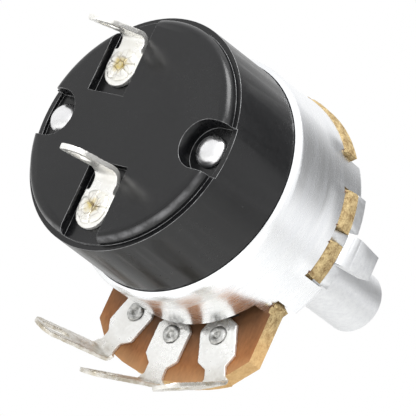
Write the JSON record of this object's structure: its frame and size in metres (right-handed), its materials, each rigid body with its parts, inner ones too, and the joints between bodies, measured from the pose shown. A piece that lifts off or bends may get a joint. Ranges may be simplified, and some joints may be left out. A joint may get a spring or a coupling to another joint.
{
  "type": "rotary potentiometer",
  "caption": "Panel potentiometer with a metal can, a moulded rear on-off switch, a turning shaft, riveted solder terminals on a wafer and a locating lug.",
  "frame": {"origin": "centre of the mounting face, on the shaft's axis, where the bushing's shoulder meets the panel", "axes": "-Y along the shaft towards its free end, +Y out of the switch's back, -Z from the axis to the three terminals, +X to the right as seen from the shaft's end"},
  "size_m": [0.0254, 0.0441, 0.0326],
  "materials": {
    "plated_steel": "dull zinc plate",
    "cast_zinc": "matt die casting",
    "shaft_alloy": "matt, fine turned",
    "spring_steel": "oiled",
    "phenolic": "pressed paper laminate",
    "carbon_track": "printed carbon",
    "tinned_brass": "dull tin plate over brass",
    "rivet_metal": "grey, worn",
    "rotor_plastic": "moulded",
    "contact_bronze": "bare strip",
    "can_steel": "bright drawn",
    "black_moulding": "satin phenolic moulding",
    "contact_rivet_metal": "tin with flux stain",
    "bright_rivet": "polished dome"
  },
  "bodies": {
    "frame": {"mounting_plate": "plated_steel", "bushing": "cast_zinc", "wafer": "phenolic", "resistive_track": "carbon_track", "collector_ring": "tinned_brass", "terminal_left": "tinned_brass", "terminal_wiper": "tinned_brass", "terminal_right": "tinned_brass", "terminal_rivets": "rivet_metal", "can": "can_steel", "switch_base": "phenolic", "switch_housing": "black_moulding", "toggle_pin": "rivet_metal", "detent_spring": "contact_bronze", "common_strip": "contact_bronze", "switch_lug_upper": "tinned_brass", "switch_lug_lower": "tinned_brass", "contact_rivets": "contact_rivet_metal", "housing_rivets": "bright_rivet"},
    "shaft": {"shaft": "shaft_alloy", "retaining_ring": "spring_steel", "rotor": "rotor_plastic", "wiper_spring": "contact_bronze"},
    "toggle": {"switch_toggle": "rotor_plastic", "moving_contact": "contact_bronze", "contact_spring": "contact_bronze"}
  },
  "joints": [
    {"name": "shaft_turn", "type": "hinge", "parent": "frame", "child": "shaft", "pos_m": [0, 0, 0], "axis": [0, 1, 0], "range_deg": [0, 300]},
    {"name": "switch_toggle", "type": "hinge", "parent": "frame", "child": "toggle", "pos_m": [-0.00281, 0.0125, 0.00771], "axis": [0, -1, 0], "range_deg": [0, 40]}
  ]
}
